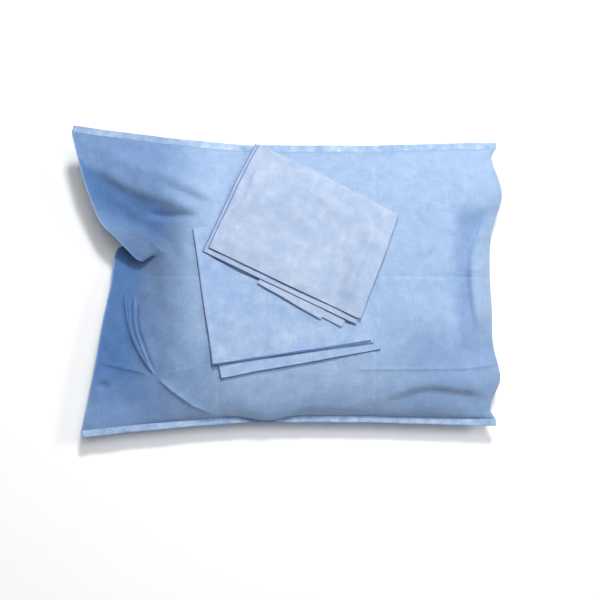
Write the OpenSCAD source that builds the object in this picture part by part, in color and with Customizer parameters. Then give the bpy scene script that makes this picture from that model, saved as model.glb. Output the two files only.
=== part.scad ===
// Disposable patient linen set: a bed pillow in an open-ended nonwoven pillowcase,
// with a folded drape sheet and a folded patient gown lying on it.
// X runs along the pillow, towards the case's closed end, Y towards its back seam, Z up.
// The origin is at the middle of the underside of the whole set.

/* [Pillow] */
// Length of the filled pillow
pillow_l = 610; // [560:1:612]
// Width of the filled pillow at its corners
pillow_w = 446; // [400:1:448]
// Rise of the crown above the seam line
crown = 74; // [50:1:80]
// Thickness of the pillow's ticking
ticking_t = 0.6; // [0.4:0.1:1]
// Width of the ticking's closing seam
ticking_seam_w = 5; // [3:0.5:6]

/* [Pillowcase] */
// Length of the case, from mouth to closed end
case_l = 742; // [720:1:760]
// Half width of the case inside its seams, along the pillow
case_half_w = 228; // [226:1:236]
// How far each seam flares out at the mouth's corners
mouth_flare = 28; // [0:1:34]
// Thickness of the case's nonwoven
case_t = 0.5; // [0.4:0.1:0.8]
// Width of the welded side seams
seam_w = 12; // [8:1:16]
// Width of the hem round the mouth
hem_w = 10; // [6:1:14]
// Height of the side seams above the floor
seam_z = 50; // [44:1:56]
// Height of the mouth's lifted back corner above the seams
corner_lift = 54; // [0:1:60]

/* [Folded sheet] */
// Width of the folded drape sheet along its front edge
sheet_w = 266; // [240:1:280]
// Depth of the folded drape sheet's top leaf
sheet_d = 217; // [200:1:230]
// How far the lower leaf shows in front of the top leaf
sheet_step = 24; // [8:1:26]
// Thickness of each of its leaves
sheet_leaf_t = 1.6; // [1:0.1:1.8]

/* [Folded gown] */
// Width of the folded gown along its front edge
gown_w = 277; // [250:1:280]
// Depth of the folded gown
gown_d = 198; // [180:1:204]
// Thickness of each of its leaves
gown_leaf_t = 1.8; // [1:0.1:1.9]
// Width of the gown's ties
tie_w = 22; // [16:1:24]

/* [Hidden] */

case_color = [0.47, 0.62, 0.84];
seam_color = [0.62, 0.75, 0.92];
ticking_color = [0.90, 0.92, 0.95];
fill_color = [0.96, 0.96, 0.94];
gown_color = [0.71, 0.79, 0.94];
sheet_color = [0.66, 0.76, 0.93];

half_l = case_l / 2;
pillow_x = 46;                       // middle of the pillow
hinge_x = -268;                      // line where the empty end of the case starts
hinge_gap = 0.4;                     // between the fixed and the folding part of the case
inside_gap = 2.5;                    // between the ticking and the case
mouth_share = 0.34;                  // how far the empty end still stands open
stack_gap = 0.5;                     // between bodies that lie on each other
leaf_gap = 0.25;                     // between leaves of one bundle

// ---- profiles -----------------------------------------------------------

function clamp(t) = min(1, max(0, t));
function smooth(t) = let(c = clamp(t)) c * c * (3 - 2 * c);
function mix(a, b, t) = a + (b - a) * t;
function dome(t, n) = pow(max(0, 1 - pow(abs(t), n)), 0.6);

// Half width inside the seams at x: it flares towards the mouth and a little at the closed end.
function half_w(x) = case_half_w + mouth_flare * pow(clamp((-60 - x) / 311), 1.4)
    + 5 * smooth((x - 100) / 250);

// Height of the seam plane, with the mouth's back corner lifted.
function seam_height(x, v) =
    seam_z + corner_lift * pow(clamp((-130 - x) / 241), 1.4) * (v + 1) / 2;

// Outline of the closed end, which bulges at the pillow's two corners.
function end_x(v) = half_l - 20 + 20 * exp(-pow((v - 0.66) / 0.2, 2))
    + 17 * exp(-pow((v + 0.75) / 0.17, 2));

// Outline of the mouth: an open S, drawn in most a little behind its middle.
throat_x = -290;
throat_v = 0.2;
function mouth_x(v) = v > throat_v
    ? throat_x - (half_l + throat_x) * pow((v - throat_v) / (1 - throat_v), 0.75)
    : throat_x - 28 * smooth((throat_v - v) / 0.4) - 38 * pow(clamp((-0.2 - v) / 0.8), 1.3);

// Lengthwise profile of the case: full over the pillow, partly open past its end.
function case_profile(x, v) = x > pillow_x
    ? dome((x - pillow_x) / (end_x(v) - pillow_x), 3)
    : mouth_share + (1 - mouth_share) * dome((pillow_x - x) / (pillow_x - hinge_x), 3);

function case_top_z(x, v) = seam_height(x, v) + inside_gap * dome(v, 8)
    + crown * case_profile(x, v) * dome(v, 2.4);

function case_bottom_z(x, v) = seam_height(x, v)
    - seam_z * min(1, 1.3 * dome(v, 3) * min(1, 1.25 * case_profile(x, v) + 0.1));

// Resting surface of the folded linen: a shallow dome that droops over the pillow's back edge.
function rest_z(x, y) = seam_z + crown + inside_gap + 2 * case_t + stack_gap + 0.7
    - 16 * pow(y / 165, 2) - 4 * pow((x - 40) / 190, 2) - 31 * pow(clamp((y - 150) / 90), 2);

// ---- shells -------------------------------------------------------------

// Closed solid between two surfaces, hi above and lo below, on an nu by nv grid of (0..1, 0..1).
module shell(nu, nv, hi, lo) {
    w = nv + 1;
    n = (nu + 1) * w;
    points = concat(
        [for (i = [0:nu]) for (j = [0:nv]) hi(i / nu, j / nv)],
        [for (i = [0:nu]) for (j = [0:nv]) lo(i / nu, j / nv)]);
    skins = [
        for (i = [0:nu - 1]) for (j = [0:nv - 1])
            let(a = i * w + j, b = a + w, c = b + 1, d = a + 1)
            each [[a, d, c], [a, c, b], [n + a, n + b, n + c], [n + a, n + c, n + d]]
    ];
    long_sides = [
        for (i = [0:nu - 1])
            let(a = i * w, b = a + w, d = a + nv, c = b + nv)
            each [[a, b, n + b], [a, n + b, n + a], [c, d, n + d], [c, n + d, n + c]]
    ];
    short_sides = [
        for (j = [0:nv - 1])
            let(a = j, d = j + 1, b = nu * w + j, c = b + 1)
            each [[d, a, n + a], [d, n + a, n + d], [b, c, n + c], [b, n + c, n + b]]
    ];
    polyhedron(points = points, faces = concat(skins, long_sides, short_sides));
}

// ---- pillow -------------------------------------------------------------

function ease(t) = sin(90 * (2 * t - 1));
function pillow_xy(a, b, inset) = [
    pillow_x + (pillow_l / 2 - inset) * a * (1 - 0.025 * (1 - b * b)),
    (pillow_w / 2 - inset) * b * (1 - 0.04 * (1 - a * a))
];
function pillow_rise(a, b) = dome(a, 3) * dome(b, 2.4);

function ticking_upper(u, v, drop, inset) = let(a = ease(u), b = ease(v)) concat(
    pillow_xy(a, b, inset), [seam_z + 0.8 + ticking_t - drop + (crown - 1) * pillow_rise(a, b)]);
function ticking_lower(u, v, raise, inset) = let(a = ease(u), b = ease(v)) concat(
    pillow_xy(a, b, inset),
    [seam_z - 0.8 - ticking_t + raise - (seam_z - 3) * min(1, 1.2 * pillow_rise(a, b))]);

module pillow_fill() {
    color(fill_color)
        shell(24, 18,
            function(u, v) ticking_upper(u, v, ticking_t + 0.3, ticking_seam_w + 0.3),
            function(u, v) ticking_lower(u, v, ticking_t + 0.3, ticking_seam_w + 0.3));
}

module ticking_top() {
    color(ticking_color)
        shell(24, 18,
            function(u, v) ticking_upper(u, v, 0, ticking_seam_w),
            function(u, v) ticking_upper(u, v, ticking_t, ticking_seam_w));
}

module ticking_bottom() {
    color(ticking_color)
        shell(24, 18,
            function(u, v) ticking_lower(u, v, ticking_t, ticking_seam_w),
            function(u, v) ticking_lower(u, v, 0, ticking_seam_w));
}

// The flat welded band where the two halves of the ticking are closed.
function rim(inset) = let(n = 12) [
    for (k = [0:4 * n - 1])
        let(side = floor(k / n), t = 2 * (k % n) / n - 1)
        side == 0 ? pillow_xy(t, -1, inset)
            : side == 1 ? pillow_xy(1, t, inset)
            : side == 2 ? pillow_xy(-t, 1, inset)
            : pillow_xy(-1, -t, inset)
];

module ticking_seam() {
    outer = rim(0);
    inner = rim(ticking_seam_w);
    n = len(outer);
    color(ticking_color)
        translate([0, 0, seam_z - 0.6])
            linear_extrude(1.2)
                polygon(concat(outer, inner), [[for (i = [0:n - 1]) i], [for (i = [0:n - 1]) n + i]]);
}

// ---- pillowcase ---------------------------------------------------------

// A strip of the case between x0(v) and x1(v), from z to z + t of the given height function.
module case_strip(nu, nv, x0, x1, height, t) {
    at = function(u, v, up)
        let(w = sin(90 * (2 * v - 1)), x = mix(x0(w), x1(w), u)) [x, w * half_w(x), height(x, w) + up];
    shell(nu, nv, function(u, v) at(u, v, t), function(u, v) at(u, v, 0));
}

end_band = 14;                       // length of the folded end strip

module case_top_panel() {
    color(case_color)
        case_strip(26, 18, function(v) hinge_x + hinge_gap, function(v) end_x(v) - end_band,
            function(x, v) case_top_z(x, v) + case_t, case_t);
}

module case_bottom_panel() {
    color(case_color)
        case_strip(26, 18, function(v) hinge_x + hinge_gap, function(v) end_x(v) - end_band,
            function(x, v) case_bottom_z(x, v), case_t);
}

// The end where the cloth turns from the top panel to the bottom panel.
module case_end_fold() {
    turn = function(u, v, inset)
        let(w = sin(90 * (2 * v - 1)) * 0.97, side = 2 * u - 1, c = cos(90 * side),
            x = end_x(w) - end_band + (end_band - inset) * c,
            edge = end_x(w) - end_band,
            top = case_top_z(edge, w) + 2 * case_t, bottom = case_bottom_z(edge, w),
            middle = (top + bottom) / 2, half = max(1.2, (top - bottom) / 2 - inset))
        [x + 0.2, w * half_w(edge), middle - half * sin(90 * side)];
    color(case_color)
        shell(8, 18, function(u, v) turn(u, 1 - v, 0), function(u, v) turn(u, 1 - v, case_t));
}

// One welded seam between x0 and x1, on the side where v is 1 (back) or -1 (front).
module seam(n, x0, x1, side) {
    at = function(u, v, up)
        let(x = mix(x0, x1, u), out = side > 0 ? v : 1 - v)
        [x, side * (half_w(x) + 0.2 + seam_w * out), seam_height(x, side) + up];
    color(seam_color)
        shell(n, 1, function(u, v) at(u, v, 2 * case_t), function(u, v) at(u, v, 0));
}

module case_back_seam() { seam(14, hinge_x + hinge_gap, half_l - 12, 1); }
module case_front_seam() { seam(14, hinge_x + hinge_gap, half_l - 12, -1); }
module mouth_back_seam() { seam(5, -half_l, hinge_x - hinge_gap, 1); }
module mouth_front_seam() { seam(5, -half_l + 12, hinge_x - hinge_gap, -1); }

module mouth_top_flap() {
    color(case_color)
        case_strip(4, 18, function(v) mouth_x(v) + hem_w, function(v) hinge_x - hinge_gap,
            function(x, v) case_top_z(x, v) + case_t, case_t);
}

module mouth_bottom_flap() {
    color(case_color)
        case_strip(4, 18, function(v) mouth_x(v) + hem_w, function(v) hinge_x - hinge_gap,
            function(x, v) case_bottom_z(x, v), case_t);
}

module mouth_top_hem() {
    color(seam_color)
        case_strip(1, 18, function(v) mouth_x(v), function(v) mouth_x(v) + hem_w - 0.2,
            function(x, v) case_top_z(x, v) + case_t, 2 * case_t);
}

module mouth_bottom_hem() {
    color(seam_color)
        case_strip(1, 18, function(v) mouth_x(v), function(v) mouth_x(v) + hem_w - 0.2,
            function(x, v) case_bottom_z(x, v) - case_t, 2 * case_t);
}

// ---- folded linen -------------------------------------------------------

// A leaf of folded cloth: a four-cornered plate in a turned frame, lying on the resting surface.
// corners run front left, front right, back right, back left.
module leaf(centre, turn, corners, up, t, nu = 10, nv = 8) {
    at = function(u, v, z)
        let(front = corners[0] * (1 - u) + corners[1] * u,
            back = corners[3] * (1 - u) + corners[2] * u,
            p = front * (1 - v) + back * v,
            x = centre.x + p.x * cos(turn) - p.y * sin(turn),
            y = centre.y + p.x * sin(turn) + p.y * cos(turn))
        [x, y, rest_z(x, y) + z];
    shell(nu, nv, function(u, v) at(u, v, up + t), function(u, v) at(u, v, up));
}

function box_corners(x0, x1, y0, y1) = [[x0, y0], [x1, y0], [x1, y1], [x0, y1]];

sheet_at = [0.5, -8];
sheet_turn = 7.6;
sheet_up = sheet_leaf_t + leaf_gap;
sheet_left = -0.526 * sheet_w;       // its left and right front corners, about the turning point
sheet_right = 0.473 * sheet_w;
sheet_back = sheet_d / 2;
sheet_lean = 30;                     // how far its right edge leans out towards the back

// One leaf of the sheet. Its left and right sides can be shifted, and its front corners set out
// by front at the left and right_front at the right.
module sheet_leaf(level, left, front, right_front, right) {
    color(sheet_color)
        leaf(sheet_at, sheet_turn, [
            [sheet_left + left, -sheet_back - 4 - front],
            [sheet_right + right, -sheet_back + 1 - right_front],
            [sheet_right + sheet_lean + right, sheet_back - 1],
            [sheet_left - 3, sheet_back + 8]
        ], level * sheet_up, sheet_leaf_t);
}

module sheet_lower_leaf() { sheet_leaf(0, 10, sheet_step, sheet_step - 8, 14); }
module sheet_middle_leaf() { sheet_leaf(1, 2, 1, 4, 4); }
module sheet_upper_leaf() { sheet_leaf(2, 0, 0, 0, 0); }

gown_at = [39.2, 83.8];
gown_turn = -26.3;
gown_base = 3 * sheet_up + stack_gap;
gown_up = gown_leaf_t + leaf_gap;
gx = gown_w / 2;
gy = gown_d / 2;
sleeve_t = gown_leaf_t - 0.6;
tie_t = gown_leaf_t / 2 - 0.2;
front_t = gown_leaf_t - 0.3;
lining_t = gown_leaf_t - 1;
lining_level = 4.25;                 // a little room, because it turns away with the flap

module gown_leaf(level, corners, t = gown_leaf_t, nu = 10, nv = 12) {
    color(gown_color)
        leaf(gown_at, gown_turn, corners, gown_base + level * gown_up, t, nu, nv);
}

// The bundle's outline is not square. Each side can be drawn in by some millimetres.
function gown_outline(left, right, front, back) = [
    [-gx + left, -gy + front], [gx - right, -gy + 4 + front],
    [gx - 19 - right, gy - 9 - back], [-gx - 7 + left, gy - back]
];

module gown_right_back_panel() { gown_leaf(0, gown_outline(12, 8, -7, 5)); }
module gown_left_back_panel() { gown_leaf(1, gown_outline(5, 12, -12, 7)); }

module gown_right_sleeve() {
    gown_leaf(2.1, box_corners(1, gx - 30, -gy + 36, gy - 22), sleeve_t, 5);
}

module gown_left_sleeve() {
    gown_leaf(2.1, box_corners(-gx + 8, -1, -gy + 36, gy - 22), sleeve_t, 5);
}

// Two waist ties, one over the other along the front of the bundle, a little askew. Their ends
// show past its edge: out is how far, at each tie's left and right end.
function tie_corners(x0, x1, out) = [
    [x0, -gy - out[0]], [x1, -gy - out[1]], [x1, -gy - out[1] + tie_w], [x0, -gy - out[0] + tie_w]
];

module gown_waist_ties() {
    gown_leaf(2.05, tie_corners(-2, 117, [19, 21]), tie_t, 6, 1);
    gown_leaf(2.5, tie_corners(-40, 80, [17, 25]), tie_t, 6, 1);
}

// Two neck ties, folded up beside each other behind the waist ties.
module gown_neck_ties() {
    for (x = [-gx + 12, -gx + 56])
        gown_leaf(2.1, box_corners(x, x + 40, -gy + 12, -gy + 12 + tie_w), sleeve_t, 2, 1);
}

module gown_front_panel() { gown_leaf(3, gown_outline(-6, 3, -9, 2), front_t); }

// The upper part of the fold, which opens about the gown's right edge.
module gown_flap_lining() { gown_leaf(lining_level, gown_outline(4, 3, 6, 3), lining_t); }
module gown_flap_front() { gown_leaf(5, gown_outline(0, 0, 0, 0)); }

// The strip along the neck opening, under the flap.
module gown_neck_binding() {
    color(seam_color)
        leaf(gown_at, gown_turn, [[-46, gy - 46], [46, gy - 46], [40, gy - 36], [-40, gy - 36]],
            gown_base + 5 * gown_up - 0.55, 0.3, 4, 2);
}

pillow_fill();
ticking_top();
ticking_bottom();
ticking_seam();
case_top_panel();
case_bottom_panel();
case_end_fold();
case_back_seam();
case_front_seam();
mouth_top_flap();
mouth_bottom_flap();
mouth_top_hem();
mouth_bottom_hem();
mouth_back_seam();
mouth_front_seam();
sheet_lower_leaf();
sheet_middle_leaf();
sheet_upper_leaf();
gown_right_back_panel();
gown_left_back_panel();
gown_right_sleeve();
gown_left_sleeve();
gown_waist_ties();
gown_neck_ties();
gown_front_panel();
gown_flap_lining();
gown_flap_front();
gown_neck_binding();
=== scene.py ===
"""The looks of the patient gown and pillow set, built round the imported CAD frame.
Lengths are in mm until a mesh is made."""

import math

import bpy
import numpy as np
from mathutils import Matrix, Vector


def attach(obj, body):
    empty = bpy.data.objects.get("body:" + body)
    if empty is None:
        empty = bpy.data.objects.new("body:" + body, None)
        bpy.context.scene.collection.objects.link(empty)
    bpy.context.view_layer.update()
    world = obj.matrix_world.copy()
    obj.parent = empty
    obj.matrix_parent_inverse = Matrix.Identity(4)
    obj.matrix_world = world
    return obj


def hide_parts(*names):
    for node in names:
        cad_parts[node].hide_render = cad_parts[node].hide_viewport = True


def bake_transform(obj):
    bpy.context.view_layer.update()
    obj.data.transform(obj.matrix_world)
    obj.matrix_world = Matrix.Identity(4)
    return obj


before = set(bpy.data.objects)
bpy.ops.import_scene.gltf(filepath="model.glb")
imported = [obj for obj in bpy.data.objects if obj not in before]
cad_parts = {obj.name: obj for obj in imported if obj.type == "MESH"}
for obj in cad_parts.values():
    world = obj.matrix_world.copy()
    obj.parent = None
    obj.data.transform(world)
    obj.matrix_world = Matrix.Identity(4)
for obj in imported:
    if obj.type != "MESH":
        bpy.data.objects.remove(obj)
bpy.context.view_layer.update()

MM = 0.001                                # metres in a millimetre


# ---------------------------------------------------------------- small maths


def clamp(t):
    return np.clip(t, 0.0, 1.0)


def smooth(t):
    t = clamp(t)
    return t * t * (3 - 2 * t)


def mix(a, b, t):
    return a + (b - a) * t


def dome(t, n, p=0.6):
    return np.maximum(0.0, 1 - np.abs(t) ** n) ** p


def curve(x, points):
    """A smooth line through (x, y) pairs, flat outside them."""
    px = np.array([p[0] for p in points], float)
    py = np.array([p[1] for p in points], float)
    slope = np.gradient(py, px)
    x = np.clip(np.asarray(x, float), px[0], px[-1])
    i = np.clip(np.searchsorted(px, x) - 1, 0, len(px) - 2)
    h = px[i + 1] - px[i]
    t = (x - px[i]) / h
    return (
        (1 + 2 * t) * (1 - t) ** 2 * py[i]
        + t * (1 - t) ** 2 * h * slope[i]
        + t * t * (3 - 2 * t) * py[i + 1]
        + t * t * (t - 1) * h * slope[i + 1]
    )


def waves(x, y, seed, scale, count=14, spread=0.5):
    """Gentle random undulation from a sum of plane waves, about 1 high at most."""
    rng = np.random.default_rng(seed)
    out = 0.0
    for _ in range(count):
        a = rng.uniform(0, math.pi)
        k = 2 * math.pi / (scale * rng.uniform(1 - spread, 1 + spread))
        out = out + np.sin(k * (x * math.cos(a) + y * math.sin(a)) + rng.uniform(0, 6.28))
    return out / math.sqrt(count) / 1.6


def line_distance(x, y, points):
    """Signed distance to a bent line (positive on its left), and how far along it (0 to 1)."""
    best = np.full(np.shape(x), 1e9)
    side = np.zeros(np.shape(x))
    along = np.zeros(np.shape(x))
    p = np.array(points, float)
    lengths = np.hypot(*(p[1:] - p[:-1]).T)
    total, run = lengths.sum(), 0.0
    for a, b, length in zip(p[:-1], p[1:], lengths):
        d = (b - a) / length
        t = np.clip((x - a[0]) * d[0] + (y - a[1]) * d[1], 0, length)
        dx, dy = x - a[0] - t * d[0], y - a[1] - t * d[1]
        r = np.hypot(dx, dy)
        near = r < best
        best = np.where(near, r, best)
        side = np.where(near, np.sign(d[0] * dy - d[1] * dx), side)
        along = np.where(near, (run + t) / total, along)
        run += length
    return best * np.where(side == 0, 1, side), along


def spline(points, n=24):
    """More points along a smooth curve through the given ones."""
    p = np.array(points, float)
    t = np.concatenate([[0], np.cumsum(np.hypot(*(p[1:] - p[:-1]).T))])
    q = np.linspace(0, t[-1], n)
    return [
        (float(a), float(b))
        for a, b in zip(curve(q, list(zip(t, p[:, 0]))), curve(q, list(zip(t, p[:, 1]))))
    ]


def fold(x, y, points, height, width, ends=0.25, sharp=False, lean=0.0):
    """Height of a ridge (or valley, if negative) along a bent line, fading out at its ends.
    lean above 0 makes its left side steeper, below 0 its right side."""
    d, s = line_distance(x, y, points)
    w = width * np.where(d > 0, 1 - lean, 1 + lean)
    shape = np.exp(-np.abs(d) / w) if sharp else np.exp(-((d / w) ** 2))
    fade = 1.0
    if ends > 0:
        fade = smooth(s / ends) * smooth((1 - s) / ends)
    return height * shape * fade


def terrace(x, y, points, height, width, ends=0.25):
    """A step along a bent line, its left side raised and its right side lowered by half the height."""
    d, s = line_distance(x, y, points)
    fade = smooth(s / ends) * smooth((1 - s) / ends)
    return 0.5 * height * fade * np.tanh(d / width) * np.exp(-((d / (6 * width)) ** 2))


# ---------------------------------------------------------------- mesh helpers


def mesh_object(name, points, faces, uv=None, slot=None, material=None, smooth_shading=True):
    mesh = bpy.data.meshes.new(name)
    mesh.from_pydata((np.asarray(points, float) * MM).tolist(), [], faces)
    mesh.update()
    if uv is not None:
        layer = mesh.uv_layers.new(name="cloth")
        index = np.zeros(len(mesh.loops), np.int32)
        mesh.loops.foreach_get("vertex_index", index)
        layer.data.foreach_set("uv", np.asarray(uv, np.float32)[index].ravel())
    if smooth_shading:
        mesh.polygons.foreach_set("use_smooth", [True] * len(mesh.polygons))
    o = bpy.data.objects.new(name, mesh)
    bpy.context.scene.collection.objects.link(o)
    if material is not None:
        mesh.materials.append(material)
    return o


def grid_faces(nu, nv, start=0, flip=False):
    a = (np.arange(nu - 1)[:, None] * nv + np.arange(nv - 1)[None, :] + start).ravel()
    quads = np.stack([a, a + nv, a + nv + 1, a + 1], axis=1)
    if flip:
        quads = quads[:, ::-1]
    return [tuple(int(i) for i in q) for q in quads]


def float_attribute(o, name, values):
    layer = o.data.attributes.new(name, "FLOAT", "POINT")
    layer.data.foreach_set("value", np.asarray(values, np.float32).ravel())


# ---------------------------------------------------------------- materials


class Nodes:
    """Short names for building a node tree."""

    def __init__(self, name):
        self.material = bpy.data.materials.new(name)
        self.material.use_nodes = True
        self.tree = self.material.node_tree
        self.shader = self.tree.nodes["Principled BSDF"]

    def new(self, kind, **values):
        node = self.tree.nodes.new("ShaderNode" + kind)
        for key, value in values.items():
            if hasattr(node, key):
                setattr(node, key, value)
            else:
                node.inputs[key.replace("_", " ")].default_value = value
        return node

    def link(self, a, b):
        self.tree.links.new(a, b)

    def maths(self, operation, a, b=0.0):
        node = self.new("Math", operation=operation)
        for socket, value in zip(node.inputs, (a, b)):
            if isinstance(value, (int, float)):
                socket.default_value = value
            else:
                self.link(value, socket)
        return node.outputs[0]

    def noise(self, vector, scale, detail=3.0, roughness=0.55):
        node = self.new("TexNoise")
        node.inputs["Scale"].default_value = scale
        node.inputs["Detail"].default_value = detail
        node.inputs["Roughness"].default_value = roughness
        self.link(vector, node.inputs["Vector"])
        return node.outputs["Fac"]

    def stretched(self, vector, sx, sy):
        node = self.new("Mapping")
        node.inputs["Scale"].default_value = (sx, sy, 1)
        self.link(vector, node.inputs["Vector"])
        return node.outputs["Vector"]

    def ramp(self, value, stops):
        node = self.new("ValToRGB")
        self.link(value, node.inputs["Fac"])
        ramp = node.color_ramp
        while len(ramp.elements) < len(stops):
            ramp.elements.new(0.5)
        for element, (at, colour) in zip(ramp.elements, stops):
            element.position = at
            element.color = (*colour, 1)
        return node.outputs["Color"]


def nonwoven(name, dark, mid, light, cloud=60.0, linen=0.0, weld=0.0, void_and_painted_shade=None, bump=0.25):
    """Spunbond nonwoven: cloudy fibre density, fine fibre streaks, a bonding emboss, matt.
    cloud is the scale of the clouding per metre, linen how strong the crossed streaks are."""
    n = Nodes(name)
    uv = n.new("UVMap", uv_map="cloth").outputs["UV"]
    clouds = n.noise(uv, cloud, 5, 0.62)
    large = n.noise(uv, cloud * 0.22, 2, 0.5)
    along = n.noise(n.stretched(uv, 45, 520), 1.0, 3, 0.6)
    across = n.noise(n.stretched(uv, 520, 45), 1.0, 3, 0.6)
    streaks = n.maths("MULTIPLY", n.maths("ADD", along, across), 0.5)
    share = 0.15 + 0.75 * linen
    tone = n.maths("ADD", n.maths("MULTIPLY", clouds, 0.6), n.maths("MULTIPLY", large, 0.25))
    tone = n.maths("ADD", tone, n.maths("MULTIPLY", streaks, share))
    tone = n.maths("SUBTRACT", tone, 0.5 * (share + 0.85) - 0.5)
    colour = n.ramp(tone, [(0.32, dark), (0.5, mid), (0.68, light)])
    # painted shade: where the cloth's attribute is set, the colour is multiplied by the last colour given; on
    # the case this also darkens thin cloth with nothing white behind it
    if void_and_painted_shade is not None:
        painted_darkening = n.new("Attribute", attribute_name="void_and_painted_shade").outputs["Fac"]
        blend = n.new("Mix", data_type="RGBA", blend_type="MULTIPLY")
        n.link(painted_darkening, blend.inputs["Factor"])
        n.link(colour, blend.inputs["A"])
        blend.inputs["B"].default_value = (*void_and_painted_shade, 1)
        colour = blend.outputs["Result"]
    n.link(colour, n.shader.inputs["Base Color"])
    n.shader.inputs["Roughness"].default_value = 0.85
    n.shader.inputs["Specular IOR Level"].default_value = 0.2
    n.shader.inputs["Sheen Weight"].default_value = 0.15
    n.shader.inputs["Sheen Roughness"].default_value = 0.5
    # The emboss: small bonding points, and the streaks.
    dots = n.new("TexVoronoi", feature="F1")
    dots.inputs["Scale"].default_value = 520.0
    dots.inputs["Randomness"].default_value = 0.15
    n.link(uv, dots.inputs["Vector"])
    height = n.maths("MULTIPLY", dots.outputs["Distance"], 0.3)
    height = n.maths("ADD", height, n.maths("MULTIPLY", streaks, 0.6 + 1.6 * linen))
    height = n.maths("ADD", height, n.maths("MULTIPLY", clouds, 0.8))
    if weld:
        bars = n.noise(n.stretched(uv, 170, 25), 1.0, 3, 0.6)
        height = n.maths("ADD", height, n.maths("MULTIPLY", bars, weld))
    node = n.new("Bump")
    node.inputs["Strength"].default_value = bump
    node.inputs["Distance"].default_value = 0.0008
    n.link(height, node.inputs["Height"])
    n.link(node.outputs["Normal"], n.shader.inputs["Normal"])
    return n.material


def plain_cloth(name, colour, other, scale):
    n = Nodes(name)
    uv = n.new("UVMap", uv_map="cloth").outputs["UV"]
    tone = n.noise(uv, scale, 4, 0.6)
    n.link(n.ramp(tone, [(0.35, colour), (0.65, other)]), n.shader.inputs["Base Color"])
    n.shader.inputs["Roughness"].default_value = 0.9
    weave = n.new("TexWave", wave_type="BANDS", bands_direction="DIAGONAL")
    weave.inputs["Scale"].default_value = 500.0
    weave.inputs["Distortion"].default_value = 1.5
    n.link(uv, weave.inputs["Vector"])
    node = n.new("Bump")
    node.inputs["Strength"].default_value = 0.3
    node.inputs["Distance"].default_value = 0.0005
    n.link(weave.outputs["Fac"], node.inputs["Height"])
    n.link(node.outputs["Normal"], n.shader.inputs["Normal"])
    return n.material


# The last colour of each cloth is a painted shade colour, multiplied in where its attribute says; on the case it
# also stands for thin cloth over empty space.
CASE = nonwoven(
    "case nonwoven", (0.25, 0.37, 0.565), (0.30, 0.42, 0.62), (0.355, 0.475, 0.675),
    cloud=45, linen=1.0, void_and_painted_shade=(0.25, 0.40, 0.60), bump=0.5,
)
WELD = nonwoven(
    "welded seam", (0.20, 0.33, 0.55), (0.34, 0.46, 0.65), (0.55, 0.63, 0.74),
    cloud=62, linen=0.3, weld=2.0, void_and_painted_shade=(0.35, 0.46, 0.62), bump=0.6,
)
GOWN = nonwoven(
    "gown nonwoven", (0.285, 0.38, 0.565), (0.36, 0.445, 0.605), (0.48, 0.535, 0.665),
    cloud=42, linen=0.35, void_and_painted_shade=(0.24, 0.40, 0.68), bump=0.45,
)
SHEET = nonwoven(
    "sheet nonwoven", (0.225, 0.34, 0.565), (0.31, 0.425, 0.635), (0.43, 0.52, 0.70),
    cloud=38, linen=0.35, void_and_painted_shade=(0.24, 0.40, 0.66), bump=0.45,
)
TICKING = plain_cloth("pillow ticking", (0.80, 0.82, 0.84), (0.88, 0.89, 0.90), 30)


# ---------------------------------------------------------------- the pillowcase

SEAM_W = 12.0                             # width of a side seam
PILLOW_X = 46.0                           # middle of the pillow
CASE_LONG, CASE_HALF = 740.0, 266.5       # length and half width of the case


# Heights of the two side seams above the floor: (x, z).
BACK_SEAM = [
    (-371, 104), (-320, 97), (-250, 86), (-190, 76), (-120, 67), (-40, 61), (60, 58), (200, 58), (371, 56),
]
FRONT_SEAM = [(-371, 50), (-250, 49), (-100, 46), (100, 45), (250, 47), (371, 50)]


def half_width(x):
    return 228 + 28 * clamp((-60 - x) / 311) ** 1.3 + 5 * smooth((x - 100) / 250)


def back_seam_z(x):
    return curve(x, BACK_SEAM)


def front_seam_z(x):
    return curve(x, FRONT_SEAM)


def seam_plane(x, v):
    return mix(front_seam_z(x), back_seam_z(x), (v + 1) / 2)


def end_x(v):
    return (
        349
        + 22 * np.exp(-(((v - 0.66) / 0.21) ** 2))
        + 18 * np.exp(-(((v + 0.70) / np.where(v > -0.70, 0.21, 0.13)) ** 2))
        + 4 * np.exp(-(((v + 0.25) / 0.2) ** 2))
        + 9 * clamp((np.abs(v) - 0.94) / 0.06)
    )


# The mouth's edge seen from above: (y, x), from the front corner to the back corner.
MOUTH = [
    (-256, -356), (-153, -334), (-80, -322), (-31, -313), (12, -306), (50, -311), (100, -322),
    (170, -345), (251, -366),
]
LIP_Y, LIP_DEEP = 58.0, 66.0              # where the mouth's edge is drawn in, and how far


def mouth_x(v):
    y = v * 256
    lip = np.exp(-(((y - LIP_Y) / np.where(y > LIP_Y, 28.5, 21)) ** 2))
    return curve(y, MOUTH) + LIP_DEEP * lip


# How full the case is along x, of 1 over the pillow: (x, share), for the upper and the lower panel.
TOP_FULL = [
    (-371, 0.04), (-300, 0.05), (-270, 0.16), (-235, 0.42), (-200, 0.68), (-165, 0.87), (-120, 0.98), (-60, 1.0),
]
BOTTOM_FULL = [(-371, 0.25), (-300, 0.35), (-262, 0.55), (-220, 0.9), (-180, 1.0)]


def case_top(x, v):
    """Height of the upper panel before its folds."""
    right = dome((x - PILLOW_X) / (end_x(v) - PILLOW_X), 5, 0.62)
    left = curve(x, TOP_FULL)
    along = np.where(x > PILLOW_X, right, left)
    front = dome(v, 2.9, 0.62)
    back = dome(v, 3.6, 0.8)
    across = np.where(v < 0, front, back)
    dip = np.exp(-(((v - 0.17) / np.where(v > 0.17, 0.27, 0.6)) ** 2))
    dip = 27 * smooth((-165 - x) / 95) * dip * dome(v, 6)
    return seam_plane(x, v) + 74 * along * across * mix(1.0, 0.93, clamp(v)) + 2 * dome(v, 8) - dip


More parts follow.
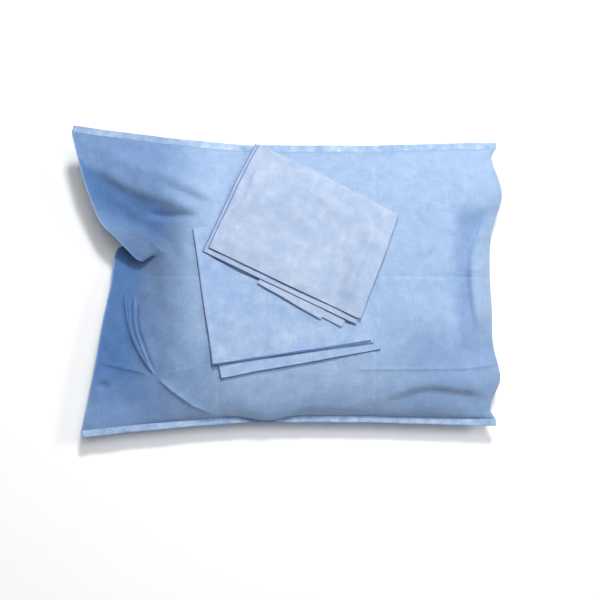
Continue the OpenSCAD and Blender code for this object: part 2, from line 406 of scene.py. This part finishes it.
def case_bottom(x, v):
    right = dome((x - PILLOW_X) / (end_x(v) - PILLOW_X), 5, 0.62)
    left = curve(x, BOTTOM_FULL)
    along = np.where(x > PILLOW_X, right, left)
    return seam_plane(x, v) * (1 - np.minimum(1, 1.35 * along) * np.minimum(1, 1.5 * dome(v, 3, 0.7)))


STAR = (-224, -160)                       # where the creases of the front left meet


def crinkle(x, y, seed, scale, width):
    """A net of fine sharp creases, 1 high, along the zero lines of a random field."""
    field = waves(x, y, seed, scale, 10, 0.4)
    return np.exp(-np.abs(field) / width)


def case_folds(x, y):
    """Creases and soft folds of the upper panel, over its smooth shape."""
    z = 0.0
    # packing creases
    for line, height in (
        ([(-117, 250), (-117, -250)], -1.5), ([(149, 250), (149, -250)], -1.2),
        ([(-300, 10), (362, 8)], -1.6), ([(120, -147), (300, -146), (364, -138)], 1.9),
    ):
        z = z + fold(x, y, line, height, 2.0, 0.02, True)
        z = z + terrace(x, y, line, 0.5 * height, 2.5, 0.05)
    # the pillow's left end, under the cloth
    for line, height, width in END_ARCS:
        z = z + fold(x, y, line, height, width, 0.14, True)
        z = z + terrace(x, y, line, 2.4, 3.0, 0.2)
    z = z + fold(x, y, [STAR, (-262, -150), (-335, -134)], 4.2, 3.6, 0.3, True, 0.4)
    z = z + fold(x, y, [STAR, (-196, -184), (-162, -209), (-98, -240)], 6.5, 4.0, 0.12, True, -0.5)
    z = z + fold(x, y, [STAR, (-180, -150), (-140, -138)], 1.6, 5.0, 0.4, True)
    z = z - 6 * np.exp(-(((x + 318) / 9) ** 2 + ((y + 176) / 8) ** 2))
    # the raised back of the mouth: a brow, with the cloth falling away in front of it
    z = z + terrace(x, y, spline(BROW), 15, 8, 0.22)
    z = z + terrace(x, y, spline([(-330, 164), (-285, 132), (-250, 106), (-206, 92)]), 5, 7, 0.3)
    z = z + fold(x, y, [(-244, 116), (-195, 110), (-146, 112)], -9, 6.5, 0.3, False, -0.3)
    z = z + fold(x, y, [(-232, 192), (-165, 164), (-104, 132)], 6.5, 11, 0.3)
    z = z + fold(x, y, [(-220, 166), (-165, 144), (-120, 124)], -4.0, 9, 0.4)
    z = z + fold(x, y, [(-340, 236), (-270, 204), (-190, 176)], 6.0, 16, 0.4)
    z = z + fold(x, y, [(-236, 84), (-222, 64), (-200, 40)], 3.0, 6, 0.35, True, 0.3)
    z = z + fold(x, y, [(-212, 88), (-196, 62), (-182, 30)], -3.0, 10, 0.4)
    # the right end
    z = z + terrace(x, y, spline(END_STEP), 13, 6, 0.2)
    z = z + fold(x, y, [(328, 85), (332, 45), (338, 20)], -5, 11, 0.4)
    z = z + fold(x, y, [(322, -60), (330, -110), (326, -140)], -4, 12, 0.4)
    z = z + fold(x, y, [(352, 13), (322, 20), (290, 19)], 2.6, 5, 0.5, True)
    z = z + fold(x, y, [(172, 214), (195, 190), (214, 168)], 1.8, 3.0, 0.35, True)
    z = z + fold(x, y, [(190, 210), (245, 190), (300, 158)], 2.0, 4.0, 0.35, True)
    z = z + fold(x, y, [(205, 130), (222, 104), (236, 88)], -2.4, 8, 0.4)
    # the ridge along the lower right, and the slope below it
    z = z + terrace(x, y, spline([(150, -208), (235, -180), (300, -186), (352, -194)]), 12, 5, 0.25)
    z = z + fold(x, y, [(-20, -216), (60, -210), (150, -216)], 2.5, 7, 0.35)
    # slight looseness all over, more at the empty end
    loose = smooth((-100 - x) / 150)
    ends = smooth((x - 240) / 90)
    z = z + 1.2 * waves(x, y, 5, 150, 12) + 0.6 * waves(x, y, 6, 55, 14)
    z = z + 1.0 * loose * waves(x, y, 8, 70, 12)
    z = z + (0.25 + 0.2 * loose + 0.3 * ends) * crinkle(x, y, 12, 190, 0.03)
    z = z + (0.15 + 0.1 * loose + 0.2 * ends) * crinkle(x, y, 13, 110, 0.04)
    return z


# The brow over the raised back of the mouth, and the step at the closed end, seen from above.
BROW = [(-345, 205), (-271, 158), (-210, 134), (-150, 114)]
END_STEP = [(352, 138), (325, 90), (308, 40), (311, -30), (324, -92)]

# The nearly parallel ridges of cloth over the pillow's left end, and the groove beside them:
# (line, height, width).
END_ARCS = [
    (spline([(-281, -14), (-277, -57), (-260, -110), STAR]), 6.2, 1.7),
    (spline([(-275, -20), (-269, -80), (-254, -115), STAR]), 4.6, 1.5),
    (spline([(-264, -18), (-262, -70), (-249, -110), STAR]), 6.6, 1.9),
    (spline([(-258, -30), (-257, -74), (-244, -110), STAR]), -5.5, 1.8),
]


def pleat(x, y):
    """Where the raised back half of the mouth laps over the front half: (forward shift, rise)."""
    strength = smooth((-206 - x) / 60)
    q = (y - 46) / 16
    roll = q * np.exp(0.5 * (1 - q * q))
    rise = 14 * np.exp(-(((y - 86) / 21) ** 2)) - 25 * np.exp(-(((y - 28) / 25) ** 2))
    return np.where(q < 0, -35, -28) * strength * roll, rise * strength


def overhang(x, v):
    """How far the cloth bulges out over the front seam, left of the middle."""
    near = smooth((-v - 0.82) / 0.12) * (1 - smooth((-v - 0.985) / 0.015))
    return 11 * np.exp(-(((x + 38) / 42) ** 2)) * near


CASE_ROWS, CASE_LANES, UNDER_ROWS = 460, 320, 110


def case_lane():
    """Places across the case, from -1 at the front seam to 1 at the back seam, closer at the seams."""
    t = np.linspace(-1, 1, CASE_LANES) * math.pi / 2 * 0.86
    return np.sin(t) / math.sin(math.pi / 2 * 0.86)


def build_case():
    lanes = case_lane()
    t = np.linspace(0, 1, CASE_ROWS)
    t = t - 0.5 * np.sin(2 * math.pi * t) / (2 * math.pi)      # closer rows at both ends
    T, V = np.meshgrid(t, lanes, indexing="ij")
    X = mix(mouth_x(V), end_x(V), T)
    Y = V * half_width(X)
    edge = dome(V, 10, 0.5)
    dy, dz = pleat(X, Y)
    Z = case_top(X, V) + (case_folds(X, Y) + dz) * edge
    top = np.stack([X, Y + dy * edge - overhang(X, V), Z], axis=-1)

    tb = np.linspace(1, 0, UNDER_ROWS)
    tb = mix(tb, np.sin(tb * math.pi / 2), 0.35)[1:]
    Tb, Vb = np.meshgrid(tb, lanes, indexing="ij")
    Xb = mix(np.minimum(mouth_x(Vb), -285) + 6 * dome(Vb, 6), end_x(Vb), Tb)
    Yb = Vb * half_width(Xb)
    Zb = np.maximum(case_bottom(Xb, Vb), 0.4)
    bottom = np.stack([Xb, Yb, Zb], axis=-1)

    points = np.concatenate([top.reshape(-1, 3), bottom.reshape(-1, 3)])
    faces = grid_faces(CASE_ROWS + UNDER_ROWS - 1, CASE_LANES)
    along = np.concatenate([T.ravel(), 2 - Tb.ravel()]) * CASE_LONG
    across = np.concatenate([V.ravel(), Vb.ravel()]) * CASE_HALF
    uv = np.stack([along, across], axis=1) * MM
    o = mesh_object("pillowcase", points, faces, uv, "case_nonwoven", CASE)
    # darker colour: thin cloth at the empty left end with nothing white behind it, and painted shade on slopes,
    # under the brow and in the shadow of the raised back of the mouth
    # the left end: thin cloth with nothing white behind it, and painted shade of its slopes facing away from the
    # lamps
    void_and_painted_shade = 0.62 * smooth((-120 - X) / 110)
    # painted shadow of the raised back of the mouth on the front half
    void_and_painted_shade = void_and_painted_shade + 0.38 * smooth((-222 - X) / 60) * smooth((64 - Y) / 40) * smooth((Y + 240) / 110)
    # painted shade on the front left slopes
    void_and_painted_shade = np.maximum(void_and_painted_shade, 0.40 * smooth((-60 - X) / 110) * smooth((-60 - Y) / 90))
    # painted shade past the step at the closed end
    end, _ = line_distance(X, Y, END_STEP + [(352, -130)])
    end = smooth((12 - end) / 16) * smooth((140 - np.abs(Y)) / 30)
    void_and_painted_shade = np.maximum(void_and_painted_shade, 0.42 * smooth((X - 270) / 30) * end)
    # painted shade on the slope down to the front seam
    void_and_painted_shade = np.maximum(void_and_painted_shade, 0.24 * smooth((-Y - 185) / 25))
    # painted shade on the lower right slope
    void_and_painted_shade = np.maximum(void_and_painted_shade, 0.36 * smooth((X - 140) / 90) * smooth((-Y - 30) / 90))
    # painted shade under the brow
    brow, _ = line_distance(X, Y, BROW)
    void_and_painted_shade = void_and_painted_shade + 0.34 * smooth((4 - brow) / 14) * smooth((74 + brow) / 34) * smooth((-160 - X) / 60)
    # a pale rim at the mouth, where the hem is doubled
    void_and_painted_shade = clamp(void_and_painted_shade) * smooth((X - mouth_x(V) + 1) / 5)
    float_attribute(o, "void_and_painted_shade", np.concatenate([void_and_painted_shade.ravel(), np.zeros(Xb.size)]))
    return o


case = build_case()


def build_seam(name, side, x0, x1):
    """The welded band outside the cloth's edge on one side."""
    n, m = 160, 7
    x = np.linspace(x0, x1, n)
    w = np.linspace(0, 1, m)
    Xs, W = np.meshgrid(x, w, indexing="ij")
    Xs = Xs + 3 * W * smooth((x0 + 30 - Xs) / 30)
    z0 = back_seam_z(Xs) if side > 0 else front_seam_z(Xs)
    ripple = waves(Xs, 0 * Xs, 11 + side, 46, 8) * 1.6 + waves(Xs, 0 * Xs, 21 + side, 18, 6) * 0.5
    Ys = side * (half_width(Xs) - 0.5 + (SEAM_W + 0.6 * waves(Xs, 0 * Xs, 31 + side, 90, 6)) * W)
    Zs = z0 + ripple * W - 1.5 * side * W
    upper = np.stack([Xs, Ys, Zs + 0.45], axis=-1).reshape(-1, 3)
    lower = np.stack([Xs, Ys, Zs - 0.45], axis=-1).reshape(-1, 3)
    points = np.concatenate([upper, lower])
    flip = side > 0
    faces = grid_faces(n, m, 0, flip) + grid_faces(n, m, n * m, not flip)
    top_rim = [i * m for i in range(n)], [i * m + m - 1 for i in range(n)]
    for rim, turn in zip(top_rim, (not flip, flip)):
        for a, b in zip(rim[:-1], rim[1:]):
            quad = (a, b, b + n * m, a + n * m)
            faces.append(quad if not turn else quad[::-1])
    for k, turn in ((0, flip), ((n - 1) * m, not flip)):
        for j in range(m - 1):
            quad = (k + j, k + j + 1, k + j + 1 + n * m, k + j + n * m)
            faces.append(quad if not turn else quad[::-1])
    uv = np.concatenate([np.stack([Xs.ravel(), Ys.ravel()], axis=1)] * 2) * MM
    o = mesh_object(name, points, faces, uv, "welded_seam", WELD)
    # painted shade: bluer towards the mouth on the back seam; on the front seam darker all along, and most in
    # the shade of the bulge over it
    if side > 0:
        shade = 0.35 * smooth((-140 - Xs) / 90)
    else:
        shade = 0.22 + 0.5 * np.exp(-(((Xs + 50) / 55) ** 2))
    float_attribute(o, "void_and_painted_shade", np.concatenate([shade.ravel()] * 2))
    return o


seam_back = build_seam("seam_back", 1, -366, 361)
seam_front = build_seam("seam_front", -1, -357, 359)


# ---------------------------------------------------------------- the pillow


def build_pillow():
    n, m = 70, 54
    a = np.sin(np.linspace(-1, 1, n) * math.pi / 2)
    b = np.sin(np.linspace(-1, 1, m) * math.pi / 2)
    A, B = np.meshgrid(a, b, indexing="ij")
    X = PILLOW_X + 303 * A * (1 - 0.025 * (1 - B * B))
    Y = 219 * B * (1 - 0.04 * (1 - A * A))
    v = Y / half_width(X)
    # the case hangs looser over the pillow's left end
    ceiling = case_top(X, v) - 4 - 14 * smooth((-150 - X) / 70)
    floor_z = case_bottom(X, v) + 2.5
    ceiling = np.maximum(ceiling, floor_z + 4)
    mid = (ceiling + floor_z) / 2
    full = dome(A, 5, 0.5) * dome(B, 3.5, 0.5)
    up = mid + 0.4 + (ceiling - mid) * full
    down = mid - 0.4 - (mid - floor_z) * full
    P = np.concatenate([np.stack([X, Y, up], -1).reshape(-1, 3), np.stack([X, Y, down], -1).reshape(-1, 3)])
    faces = grid_faces(n, m) + grid_faces(n, m, n * m, True)
    rims = [
        [i * m for i in range(n)],
        [(n - 1) * m + j for j in range(m)],
        [i * m + m - 1 for i in reversed(range(n))],
        [j for j in reversed(range(m))],
    ]
    for rim in rims:
        for i, j in zip(rim[:-1], rim[1:]):
            faces.append((i, i + n * m, j + n * m, j))
    uv = P[:, :2] * MM
    return mesh_object("pillow", P, faces, uv, "ticking", TICKING)


pillow = build_pillow()


# ---------------------------------------------------------------- folded linen


def rest_z(x, y):
    """The surface that the folded linen lies on, as in the CAD."""
    return (
        127.7 + 1.0
        - 16 * (y / 165) ** 2
        - 4 * ((x - 40) / 190) ** 2
        - 31 * clamp((y - 150) / 90) ** 2
    )


SHEET_AT, SHEET_TURN, SHEET_UP = (0.5, -8.0), 7.6, 1.85
GOWN_AT, GOWN_TURN, GOWN_UP = (39.2, 83.8), -26.3, 2.05
GOWN_BASE = 3 * SHEET_UP + 0.5
GOWN_X, GOWN_Y = 138.5, 99.0              # half the folded gown's width and depth
FOLD_ROWS = 5                             # rows round each turn of a folded ply
RIM = 1.3                                 # how far the lower plies show past the top one
FLAT = (0, 0, 0, 0)                       # edges that neither spring up nor hang down


def zigzag(plies, lanes, pitch):
    """Rows of a cloth folded to and fro: (place across 0..1, height, fold number, outward bulge)."""
    rows = []
    for k in range(plies):
        t = np.linspace(0, 1, lanes)
        for a in t if k % 2 == 0 else t[::-1]:
            rows.append((a, pitch * (k + 0.5), k, 0.0))
        if k == plies - 1:
            break
        end, out = (1.0, 1) if k % 2 == 0 else (0.0, -1)
        for q in range(1, FOLD_ROWS):
            turn = math.pi * q / FOLD_ROWS
            rows.append((end, pitch * (k + 1 - 0.5 * math.cos(turn)), k, out * 0.7 * math.sin(turn)))
    return np.array(rows)


def plate(corners, U, V):
    """Places on a four-cornered outline: front left, front right, back right, back left."""
    fl, fr, br, bl = (np.array(p, float) for p in corners)
    return (
        fl * ((1 - U) * (1 - V))[..., None] + fr * (U * (1 - V))[..., None]
        + br * (U * V)[..., None] + bl * ((1 - U) * V)[..., None]
    )


def turned(P, at, turn):
    c, s = math.cos(math.radians(turn)), math.sin(math.radians(turn))
    return at[0] + P[..., 0] * c - P[..., 1] * s, at[1] + P[..., 0] * s + P[..., 1] * c


def build_pack(name, at, turn, corners, up, thick, plies, look, seed, along="x", lift=FLAT, wave=0.5,
               n=(40, 30), dents=(), droop=FLAT):
    """A leaf of several plies of one cloth folded to and fro, lying on rest_z.
    lift is how far the top ply's left, right, front and back edges spring up, droop how far all
    plies hang down there, and wave how loose they lie."""
    slot, material = look
    nu, nv = n
    rows = zigzag(plies, nu if along == "x" else nv, thick / plies)
    A, H, K, O = (rows[:, i][:, None] for i in range(4))
    B = np.linspace(0, 1, nv if along == "x" else nu)[None, :]
    U, V = (A + 0 * B, B + 0 * A) if along == "x" else (B + 0 * A, A + 0 * B)
    P = plate(corners, U, V)
    P[..., 0 if along == "x" else 1] += O
    # the lower plies show a little past the top one at the front and left, painted a deep blue there: painted
    # shade of the gaps between the plies
    under = (H < thick * (1 - 1.2 / plies)) + 0 * B
    P[..., 0] -= under * RIM * (U < 0.001)
    P[..., 1] -= under * RIM * (V < 0.001)
    rim = under * np.maximum(0.85 * (U < 0.001), V < 0.001)
    # cut edges wander a little, and each ply ends a little differently
    P[..., 0] += 0.5 * waves(U * 80, V * 200, seed + 3, 90, 6) * (1 - dome(2 * U - 1, 8))
    P[..., 1] += 0.5 * waves(U * 200, V * 80, seed + 4, 90, 6) * (1 - dome(2 * V - 1, 8))
    across, ends = (1, V) if along == "x" else (0, U)
    P[..., across] += 0.6 * np.sin(2.4 * K + seed) * (1 - dome(2 * ends - 1, 12))
    X, Y = turned(P, at, turn)
    near = (clamp(1 - U / 0.25), clamp((U - 0.75) / 0.25), clamp(1 - V / 0.3), clamp((V - 0.7) / 0.3))
    springs = sum(a * e ** 2 for a, e in zip(lift, near))
    hangs = sum(a * e ** 2 for a, e in zip(droop, near))
    level = (H / thick) ** 1.5 + 0 * B
    loose = wave * (0.8 + waves(X, Y, seed, 110, 10)) + 0.4 * wave * (0.8 + waves(X, Y, seed + 1, 42, 12))
    for line, height, width, lean in dents:
        loose = loose + fold(P[..., 0], P[..., 1], line, height, width, 0.3, False, lean)
    Z = rest_z(X, Y) + up + H + (springs + np.maximum(loose, 0)) * level - hangs
    uv = np.stack([P[..., 0] * MM + 0.31 * K, P[..., 1] * MM + 0.07 * K], axis=-1)
    points = np.stack([X, Y, Z], -1).reshape(-1, 3)
    o = mesh_object(name, points, grid_faces(len(rows), B.size), uv.reshape(-1, 2), slot, material)
    # painted shade along the lower plies' front and left edges
    float_attribute(o, "void_and_painted_shade", rim)
    return o


def box(x0, x1, y0, y1):
    return [(x0, y0), (x1, y0), (x1, y1), (x0, y1)]


SHEET_LOOK = ("sheet_nonwoven", SHEET)
GOWN_LOOK = ("gown_nonwoven", GOWN)


def sheet_outline(left, front, right_front, right):
    """Outline of a leaf of the drape sheet. Its right edge leans out towards the back."""
    l, r, b, lean = -0.526 * 266, 0.473 * 266, 108.5, 30
    return [
        (l + left, -b - 4 - front), (r + right, -b + 1 - right_front),
        (r + lean + right, b - 1), (l - 3, b + 8),
    ]


def pack_sheet():
    for k, (name, corners, lift, wave) in enumerate((
        ("sheet_lower", sheet_outline(10, 24, 16, 14), (0.5, 1.6, 0.6, 0), 0.6),
        ("sheet_middle", sheet_outline(2, 1, 4, 4), (1.5, 1.6, 0.4, 0), 0.6),
        ("sheet_upper", sheet_outline(0, 0, 0, 0), (6.0, 1.2, 1.6, 0), 2.2),
    )):
        o = build_pack(
            name, SHEET_AT, SHEET_TURN, corners, k * SHEET_UP, 1.6, 5, SHEET_LOOK, 40 + k, "x", lift, wave,
            n=(70, 56) if k == 2 else (40, 30),
        )
        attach(o, "sheet")
        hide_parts(name + "_leaf")


def gown_outline(left, right, front, back):
    return [
        (-GOWN_X + left, -GOWN_Y + front), (GOWN_X - right, -GOWN_Y + 4 + front),
        (GOWN_X - 19 - right, GOWN_Y - 9 - back), (-GOWN_X - 7 + left, GOWN_Y - back),
    ]


def tie_outline(x0, x1, out0, out1):
    y = -GOWN_Y
    return [(x0, y - out0), (x1, y - out1), (x1, y - out1 + 22), (x0, y - out0 + 22)]


# Soft folds of the gown's top leaf: (line, height, width, lean), in the bundle's own frame.
GOWN_DENTS = (
    ([(106, -96), (98, -40), (96, 20), (90, 80)], 5.0, 9, -0.35),
    ([(84, -90), (76, -50), (80, -10)], -3.0, 8, 0.3),
    ([(-100, -84), (-20, -62), (60, -78)], 2.4, 12, 0.3),
    ([(-118, 10), (-60, 34), (0, 22)], 2.8, 13, 0.3),
    ([(-40, 70), (20, 48), (84, 62)], 3.0, 12, -0.3),
    ([(-132, -70), (-120, 0), (-130, 80)], 3.4, 7, 0.4),
    ([(20, -30), (44, 6), (50, 40)], -2.2, 11, 0.3),
)


def pack_gown():
    gx, gy = GOWN_X, GOWN_Y
    sleeve_y, neck_y = (-gy + 36, gy - 22), (-gy + 12, -gy + 34)
    # name, CAD nodes, level, thickness, plies, direction, outline, lift, wave
    main = (
        ("gown_right_back", ["gown_right_back_panel"], 0, 1.8, 6, "x", gown_outline(12, 8, -7, 5), FLAT, 0.3),
        (
            "gown_left_back", ["gown_left_back_panel"], 1, 1.8, 6, "x",
            gown_outline(5, 12, -12, 7), (0, 0, 0.4, 0), 0.3,
        ),
        ("gown_sleeve_right", ["gown_right_sleeve"], 2.1, 1.2, 3, "x", box(1, gx - 30, *sleeve_y), FLAT, 0.2),
        ("gown_sleeve_left", ["gown_left_sleeve"], 2.1, 1.2, 3, "x", box(-gx + 8, -1, *sleeve_y), FLAT, 0.2),
        ("gown_waist_tie_lower", [], 2.05, 0.7, 2, "y", tie_outline(-2, 117, 19, 21), FLAT, 0.2),
        (
            "gown_waist_tie_upper", ["gown_waist_ties"], 2.5, 0.7, 2, "y",
            tie_outline(-40, 80, 17, 25), (0, 0, 0.6, 0), 0.2,
        ),
        ("gown_neck_tie_a", ["gown_neck_ties"], 2.1, 1.2, 3, "x", box(-gx + 12, -gx + 52, *neck_y), FLAT, 0.2),
        ("gown_neck_tie_b", [], 2.1, 1.2, 3, "x", box(-gx + 56, -gx + 96, *neck_y), FLAT, 0.2),
        (
            "gown_front", ["gown_front_panel"], 3, 1.5, 6, "x",
            gown_outline(-6, 3, -10, 2), (0.8, 0, 0.8, 0), 0.4,
        ),
    )
    flap = (
        (
            "gown_lining", ["gown_flap_lining", "gown_neck_binding"], 4.25, 0.8, 3, "x",
            gown_outline(4, 5, 6, 3), (0.6, 0, 0.4, 0), 0.4,
        ),
        (
            "gown_top", ["gown_flap_front"], 5, 1.8, 6, "x",
            gown_outline(0, 4, 0, 0), (1.2, 0, 1.2, 0), 2.2,
        ),
    )
    for body, leaves in (("gown", main), ("gown_flap", flap)):
        for k, (name, nodes, level, thick, plies, along, corners, lift, wave) in enumerate(leaves):
            top = name == "gown_top"
            n = (96, 72) if top else (40, 30) if thick > 1.3 else (24, 14)
            o = build_pack(
                name, GOWN_AT, GOWN_TURN, corners, GOWN_BASE + level * GOWN_UP, thick, plies, GOWN_LOOK,
                60 + k + 20 * (body == "gown_flap"), along, lift, wave, n=n, dents=GOWN_DENTS if top else (),
                droop=(1.6, 0, 1.9, 1.2) if top else FLAT,
            )
            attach(o, body)
            if nodes:
                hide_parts(*nodes)


SPINE_OUT = 3.2                           # how far the fold at the gown's right edge bulges out


def gown_spine():
    """The cloth that runs round the right edge, from the flap's top leaf down to the leaf under it."""
    up = 5 * GOWN_UP + 1.8 + 1.6
    low = 3 * GOWN_UP + 0.4
    turns = np.linspace(90, -90, 17)
    section = [(-26, up - 2.4), (-20, up - 0.9), (-14, up - 0.15), (-7, up + 0.1)]
    section += [
        (SPINE_OUT * math.cos(a) - 2, (up + low) / 2 + (up - low) / 2 * math.sin(a))
        for a in map(math.radians, turns)
    ]
    section += [(-8, low - 0.1), (-16, low)]
    out = np.array([p[0] for p in section])[:, None]
    high = np.array([p[1] for p in section])[:, None]
    v = np.linspace(0.004, 0.996, 90)[None, :]
    corners = gown_outline(0, 0, 0, 0)
    edge = plate([corners[1], corners[1], corners[2], corners[2]], 0 * v, v)
    P = np.stack([edge[..., 0] + out + 0.5 * waves(200 * v, 0 * v, 95, 60, 6), edge[..., 1] + 0 * out], axis=-1)
    X, Y = turned(P, GOWN_AT, GOWN_TURN)
    soft = 0.5 * waves(X, Y, 96, 60, 8)
    Z = rest_z(X, Y) + GOWN_BASE + high + soft * (high > (up + low) / 2)
    arc = np.cumsum(np.concatenate([[0], np.hypot(*np.diff(np.array(section), axis=0).T)]))[:, None]
    uv = np.stack([arc * MM + 0 * v, v * 0.19 + 0 * arc], axis=-1)
    o = mesh_object(
        "gown_spine", np.stack([X, Y, Z], -1).reshape(-1, 3), grid_faces(len(section), v.size),
        uv.reshape(-1, 2), *GOWN_LOOK,
    )
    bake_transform(o)


pack_sheet()
pack_gown()
gown_spine()


# ---------------------------------------------------------------- binding to the frame

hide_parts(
    "case_top_panel", "case_bottom_panel", "case_end_fold",
    "mouth_top_flap", "mouth_bottom_flap", "mouth_top_hem", "mouth_bottom_hem",
)
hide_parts("case_back_seam", "mouth_back_seam")
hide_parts("case_front_seam", "mouth_front_seam")
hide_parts("pillow_fill", "ticking_top", "ticking_bottom", "ticking_seam")
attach(pillow, "pillow")
for o in (case, seam_back, seam_front):
    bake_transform(o)


# ---------------------------------------------------------------- floor, light, camera


def build_backdrop():
    """A round floor that curves up into a low wall, far away all round."""
    section = [(0.5, 0), (2, 0), (3, 0), (4, 0), (5, 0)]
    section += [(5 + 2 * math.sin(a), 2 - 2 * math.cos(a)) for a in np.linspace(0, math.pi / 2, 14)[1:]]
    section += [(7, 3), (7, 4)]
    turns = 96
    points = [(0, 0, 0)]
    for r, z in section:
        for k in range(turns):
            a = 2 * math.pi * k / turns
            points.append((1000 * r * math.cos(a), 1000 * r * math.sin(a), 1000 * z))
    faces = [(0, 1 + k, 1 + (k + 1) % turns) for k in range(turns)]
    for i in range(len(section) - 1):
        for k in range(turns):
            a, b = 1 + i * turns + k, 1 + i * turns + (k + 1) % turns
            faces.append((a, a + turns, b + turns, b))
    return mesh_object("floor", points, faces)


def backdrop_paper():
    n = Nodes("floor")
    n.shader.inputs["Base Color"].default_value = (0.93, 0.93, 0.93, 1)
    n.shader.inputs["Roughness"].default_value = 0.9
    n.shader.inputs["Specular IOR Level"].default_value = 0.0
    return n.material


floor = build_backdrop()
floor.location = (0, 0, -0.0005)
floor.data.materials.append(backdrop_paper())


def area_light(name, at, size, power, colour=(1, 1, 1)):
    """A square lamp that faces the middle of the object."""
    data = bpy.data.lights.new(name, "AREA")
    data.size = size
    data.energy = power
    data.color = colour
    o = bpy.data.objects.new(name, data)
    o.location = at
    o.rotation_mode = "QUATERNION"
    o.rotation_quaternion = (-Vector(at)).to_track_quat("-Z", "Y")
    bpy.context.scene.collection.objects.link(o)
    return o


area_light("softbox", (0.6, 1.1, 5.5), 3.0, 152)
area_light("key", (0.34, 1.5, 2.6), 0.36, 58)
area_light("side", (2.0, 0.5, 2.3), 0.7, 24)
area_light("fill", (-0.2, -2.2, 1.0), 1.4, 3, (0.45, 0.75, 1.0))

world = bpy.data.worlds.new("studio")
world.use_nodes = True
world.node_tree.nodes["Background"].inputs["Color"].default_value = (0.76, 0.88, 1.0, 1)
world.node_tree.nodes["Background"].inputs["Strength"].default_value = 0.02
bpy.context.scene.world = world
bpy.context.scene.view_settings.view_transform = "Standard"

ELEVATION = math.radians(88.0)
DISTANCE = 2.24
aim = Vector((0.0214, -0.0284, 0.06))
back = Vector((0, -math.cos(ELEVATION), math.sin(ELEVATION)))
lens = bpy.data.cameras.new("camera")
lens.sensor_width = 36
lens.lens = 78.0
lens.clip_start, lens.clip_end = 0.05, 30
camera = bpy.data.objects.new("camera", lens)
camera.location = aim + back * DISTANCE
camera.rotation_mode = "QUATERNION"
camera.rotation_quaternion = (-back).to_track_quat("-Z", "Y")
bpy.context.scene.collection.objects.link(camera)
bpy.context.scene.camera = camera
